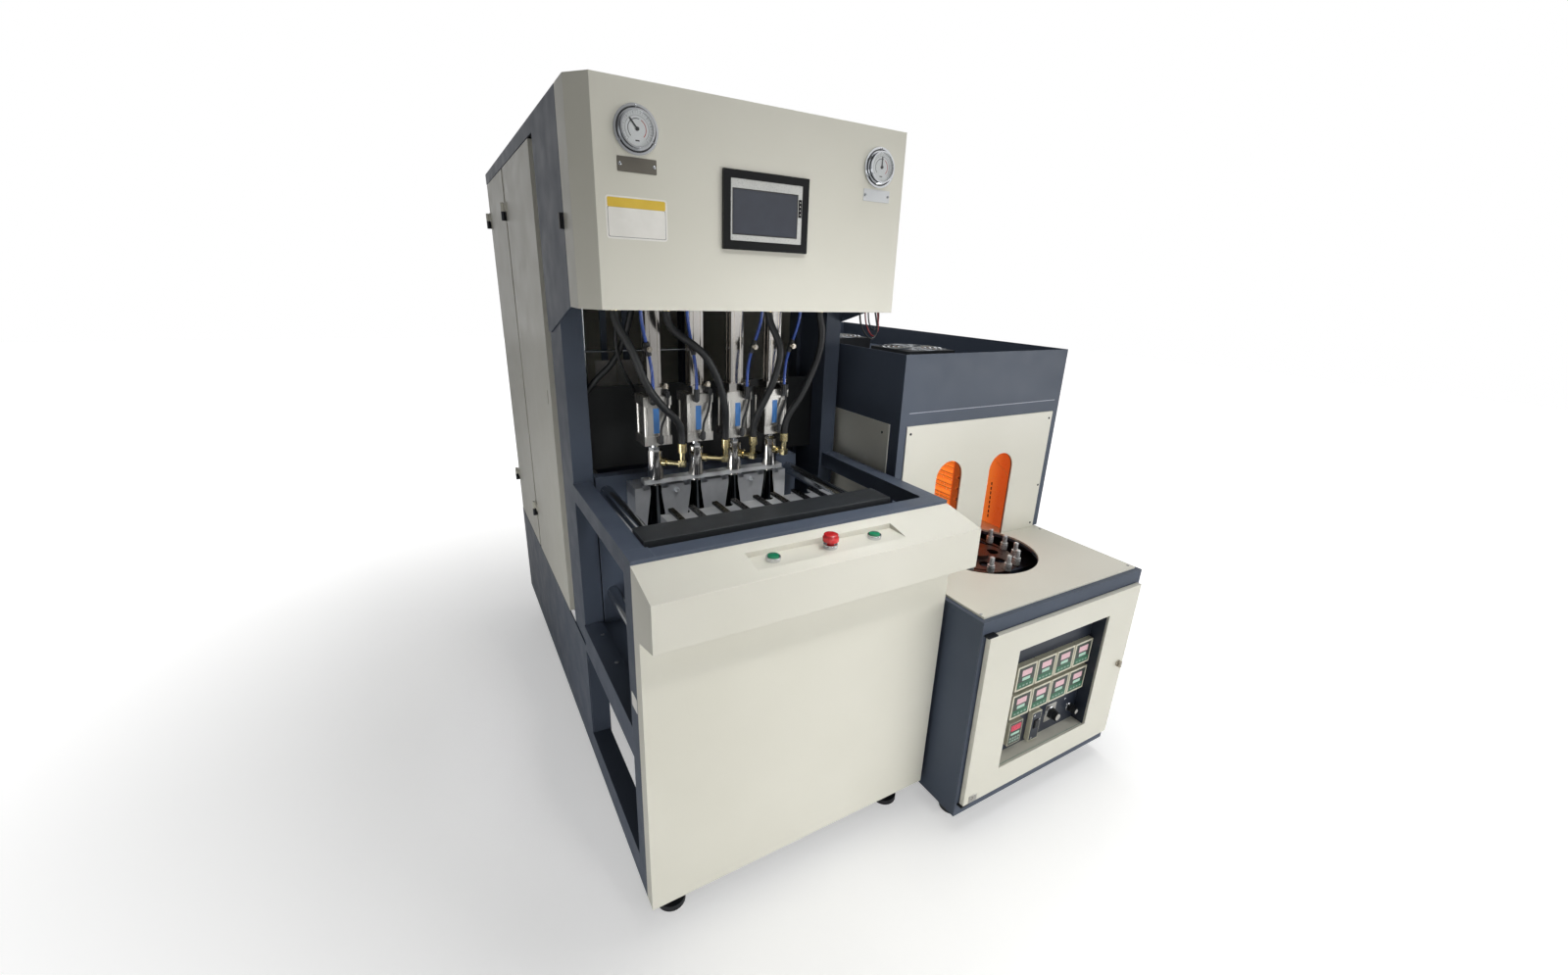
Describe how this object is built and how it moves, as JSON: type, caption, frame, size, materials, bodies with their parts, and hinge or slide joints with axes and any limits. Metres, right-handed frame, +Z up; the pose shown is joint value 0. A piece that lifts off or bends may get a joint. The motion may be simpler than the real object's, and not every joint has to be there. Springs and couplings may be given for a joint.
{
  "type": "semi-automatic stretch blow moulding machine",
  "caption": "Semi-automatic stretch blow moulding machine: a hooded blowing unit with a clamped bottle mould and an infrared preform heating unit beside it.",
  "frame": {"origin": "on the floor at the middle of the machine's overall box", "axes": "+X to the machine's right as seen by the operator in front, +Y towards its back, +Z up"},
  "size_m": [1.506, 1.885, 1.784],
  "materials": {
    "slate_paint": "semi-gloss textured enamel",
    "cream_paint": "semi-gloss enamel",
    "chrome": "polished plating",
    "black_plastic": "satin moulded",
    "green_plastic": "glossy",
    "red_plastic": "glossy",
    "black_steel": "blackened, satin",
    "polished_steel": "ground and polished",
    "aluminium": "machined and anodised",
    "turned_steel": "turned",
    "brass": "machined",
    "hose_rubber": "smooth matt",
    "blue_tubing": "smooth",
    "orange_enamel": "heat-proof enamel",
    "quartz": "clear with a dark filament",
    "brown_steel": "phosphated",
    "motor_paint": "cast and painted"
  },
  "bodies": {
    "machine": {"blower_frame": "slate_paint", "blower_skirt": "slate_paint", "upper_cowl": "slate_paint", "heater_base": "slate_paint", "heat_tunnel": "slate_paint", "cabinet_cover": "cream_paint", "control_box": "cream_paint", "front_panel": "cream_paint", "heater_table": "cream_paint", "tunnel_panels": "cream_paint", "hinges_and_catches": "chrome", "button_collars": "chrome", "port_fittings": "black_plastic", "tunnel_fans": "black_plastic", "fixed_platen": "black_steel", "back_plate": "black_steel", "levelling_feet": "polished_steel", "mould_rear": "aluminium", "sealing_cylinders": "aluminium", "stretch_cylinders": "aluminium", "clamp_cylinder": "aluminium", "chuck_chain": "turned_steel", "air_hose_1": "hose_rubber", "air_hose_2": "hose_rubber", "air_hose_3": "hose_rubber", "air_hose_4": "hose_rubber", "blue_tube_1": "blue_tubing", "blue_tube_2": "blue_tubing", "blue_tube_3": "blue_tubing", "blue_tube_4": "blue_tubing", "tunnel_liner": "orange_enamel", "quartz_lamps": "quartz", "drive_motor": "motor_paint"},
    "wide_door_leaf": {"wide_door": "cream_paint"},
    "narrow_door_leaf": {"narrow_door": "cream_paint"},
    "hood_unit": {"hood": "cream_paint", "touch_panel": "black_plastic", "pressure_gauges": "chrome"},
    "left_needle": {"gauge_pointer_left": "black_plastic"},
    "right_needle": {"gauge_pointer_right": "black_plastic"},
    "left_push": {"green_button_left": "green_plastic"},
    "right_push": {"green_button_right": "green_plastic"},
    "stop_push": {"stop_button": "red_plastic"},
    "clamp_unit": {"front_platen": "black_steel", "tie_bars": "polished_steel", "mould_front": "aluminium", "crosshead": "black_steel"},
    "nozzle_unit": {"blow_nozzles": "turned_steel", "nozzle_guide": "polished_steel", "brass_elbows": "brass", "sealing_rods": "polished_steel"},
    "stretch_unit": {"stretch_rods": "polished_steel"},
    "front_wheel": {"sprocket_front": "brown_steel"},
    "back_wheel": {"sprocket_back": "brown_steel"},
    "near_impeller": {"fan_impeller": "black_plastic"},
    "heater_leaf": {"heater_door": "cream_paint", "instruments": "black_plastic"},
    "selector": {"selector_knob": "black_plastic"},
    "speed_dial": {"speed_knob": "black_plastic"},
    "latch": {"door_latch": "chrome"}
  },
  "joints": [
    {"name": "wide_door_hinge", "type": "hinge", "parent": "machine", "child": "wide_door_leaf", "pos_m": [-0.747, 0.4725, 1.625], "axis": [0, 0, -1], "range_deg": [0, 110]},
    {"name": "narrow_door_hinge", "type": "hinge", "parent": "machine", "child": "narrow_door_leaf", "pos_m": [-0.747, 0.9365, 1.625], "axis": [0, 0, -1], "range_deg": [0, 110]},
    {"name": "hood_hinge", "type": "hinge", "parent": "machine", "child": "hood_unit", "pos_m": [0.069, -0.406, 1.69], "axis": [0, 0, 1], "range_deg": [0, 100]},
    {"name": "left_gauge", "type": "hinge", "parent": "hood_unit", "child": "left_needle", "pos_m": [-0.622, -0.5275, 1.702], "axis": [0, 1, 0], "range_deg": [-95, 175]},
    {"name": "right_gauge", "type": "hinge", "parent": "hood_unit", "child": "right_needle", "pos_m": [-0.049, -0.5275, 1.702], "axis": [0, 1, 0], "range_deg": [-135, 135]},
    {"name": "left_start", "type": "slide", "parent": "machine", "child": "left_push", "axis": [0, 0, -1], "range_m": [0, 0.005], "stiffness_N_per_m": 600, "springref_m": -0.003},
    {"name": "right_start", "type": "slide", "parent": "machine", "child": "right_push", "axis": [0, 0, -1], "range_m": [0, 0.005], "stiffness_N_per_m": 600, "springref_m": -0.003},
    {"name": "emergency_stop", "type": "slide", "parent": "machine", "child": "stop_push", "axis": [0, 0, -1], "range_m": [0, 0.005]},
    {"name": "mould_clamp", "type": "slide", "parent": "machine", "child": "clamp_unit", "axis": [0, 1, 0], "range_m": [0, 0.1955]},
    {"name": "nozzle_seal", "type": "slide", "parent": "machine", "child": "nozzle_unit", "axis": [0, 0, -1], "range_m": [0, 0.0055]},
    {"name": "rod_stretch", "type": "slide", "parent": "machine", "child": "stretch_unit", "axis": [0, 0, -1], "range_m": [0, 0.27]},
    {"name": "front_sprocket_turn", "type": "hinge", "parent": "machine", "child": "front_wheel", "pos_m": [0.403, -0.6005, 0.675], "axis": [0, 0, 1], "continuous": true},
    {"name": "back_sprocket_turn", "type": "hinge", "parent": "machine", "child": "back_wheel", "pos_m": [0.403, 0.50103, 0.675], "axis": [0, 0, 1], "continuous": true},
    {"name": "fan_turn", "type": "hinge", "parent": "machine", "child": "near_impeller", "pos_m": [0.427, -0.1725, 1.195], "axis": [0, 0, 1], "continuous": true},
    {"name": "heater_door_hinge", "type": "hinge", "parent": "machine", "child": "heater_leaf", "pos_m": [0.099, -0.9265, 0.098], "axis": [0, 0, -1], "range_deg": [0, 100]},
    {"name": "selector_turn", "type": "hinge", "parent": "heater_leaf", "child": "selector", "pos_m": [0.479, -0.8845, 0.237], "axis": [0, 1, 0], "range_deg": [-45, 45]},
    {"name": "speed_turn", "type": "hinge", "parent": "heater_leaf", "child": "speed_dial", "pos_m": [0.571, -0.8845, 0.223], "axis": [0, 1, 0], "range_deg": [-150, 150]},
    {"name": "latch_turn", "type": "hinge", "parent": "heater_leaf", "child": "latch", "pos_m": [0.71, -0.9305, 0.364], "axis": [0, 1, 0], "range_deg": [0, 90]}
  ],
  "couplings": [
    {"joint": "back_sprocket_turn", "follows": "front_sprocket_turn", "ratio": 1}
  ]
}
